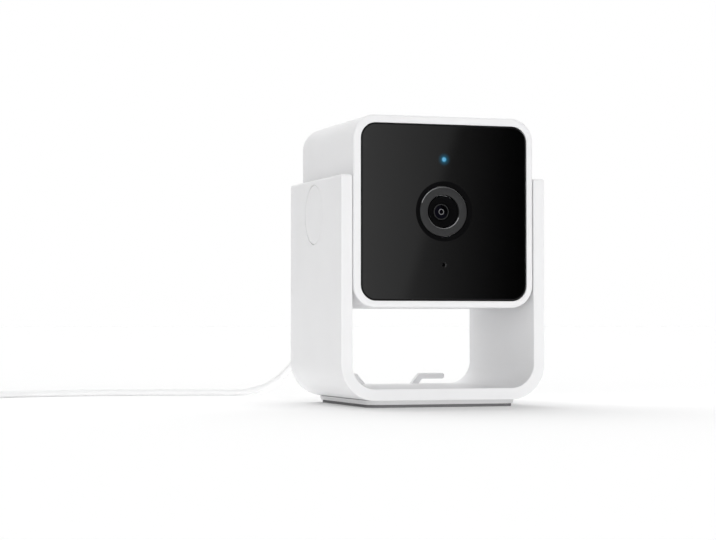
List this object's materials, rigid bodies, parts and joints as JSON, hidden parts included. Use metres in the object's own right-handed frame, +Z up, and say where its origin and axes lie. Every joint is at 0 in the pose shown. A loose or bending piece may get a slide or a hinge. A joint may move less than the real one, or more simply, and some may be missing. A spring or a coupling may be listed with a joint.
{
  "type": "pet camera",
  "caption": "Cube-shaped indoor pet camera with a glossy front panel and round lens, tilting between the arms of a U-shaped stand, with its USB power cord.",
  "frame": {"origin": "on the surface that the camera stands on, under the middle of the stand's width and of the head's depth, at the underside of the non-slip pad", "axes": "+X to the right seen from the front, +Y to the rear (the lens looks along -Y), +Z up"},
  "size_m": [0.2029, 0.1198, 0.0811],
  "materials": {
    "white_plastic": "white moulded plastic, fine satin",
    "cord_white": "white soft sheath, satin",
    "gloss_black": "deep gloss black",
    "ring_grey": "dark grey, matte",
    "black_plastic": "black, matte",
    "lens_glass": "coated lens, dark",
    "blue_light": "clear light pipe, lit blue",
    "steel": "bright plated steel, satin",
    "brass": "plain",
    "rubber_dark": "dark grey rubber",
    "board_green": "green solder mask",
    "chip_black": "moulded chip black",
    "sink_aluminium": "plain",
    "film_amber": "amber film",
    "magnet_dark": "dark plated"
  },
  "bodies": {
    "stand": {"stand_frame": "white_plastic", "pivot_cap_left": "white_plastic", "pivot_cap_right": "white_plastic", "base_plate": "steel", "plate_screw_1": "steel", "plate_screw_2": "steel", "plate_screw_3": "steel", "plate_screw_4": "steel", "usb_plug_shell": "steel", "base_pad": "rubber_dark", "friction_washer_left": "rubber_dark", "friction_washer_right": "rubber_dark", "power_cord": "cord_white", "cord_coil": "cord_white", "usb_plug_body": "cord_white", "coil_tie": "black_plastic"},
    "head": {"housing_shell": "white_plastic", "rear_cover": "white_plastic", "status_light": "white_plastic", "front_panel": "gloss_black", "panel_gasket": "rubber_dark", "microphone_boot": "rubber_dark", "speaker_gasket": "rubber_dark", "lens_ring": "ring_grey", "lens_barrel": "black_plastic", "lens_holder": "black_plastic", "speaker_basket": "black_plastic", "speaker_cone": "black_plastic", "lens_front_glass": "lens_glass", "image_sensor": "chip_black", "infrared_light_left": "chip_black", "infrared_light_right": "chip_black", "microphone": "chip_black", "tactile_switch": "chip_black", "sensor_board": "board_green", "front_board": "board_green", "main_board": "board_green", "sensor_screw_1": "steel", "sensor_screw_2": "steel", "board_screw_1": "steel", "board_screw_2": "steel", "board_screw_3": "steel", "board_screw_4": "steel", "shield_can": "steel", "usb_socket": "steel", "pivot_screw_left": "steel", "pivot_screw_right": "steel", "plug_shell": "steel", "heat_sink": "sink_aluminium", "antenna_film": "film_amber", "ribbon_cable": "film_amber", "speaker_magnet": "magnet_dark", "pivot_insert_left": "brass", "pivot_insert_right": "brass", "status_light_pipe": "blue_light", "plug_body": "cord_white", "plug_strain_relief": "cord_white"},
    "button": {"setup_button": "white_plastic"},
    "filter": {"filter_frame": "black_plastic", "filter_glass": "lens_glass"}
  },
  "joints": [
    {"name": "head_tilt", "type": "hinge", "parent": "stand", "child": "head", "pos_m": [0, -0.001, 0.05435], "axis": [1, 0, 0], "range_deg": [-35, 45], "deforming": ["power_cord"]},
    {"name": "setup_button", "type": "slide", "parent": "head", "child": "button", "axis": [0, -1, 0], "range_m": [0, 0.0005], "stiffness_N_per_m": 800},
    {"name": "filter_slide", "type": "slide", "parent": "head", "child": "filter", "axis": [1, 0, 0], "range_m": [0, 0.0055]}
  ]
}
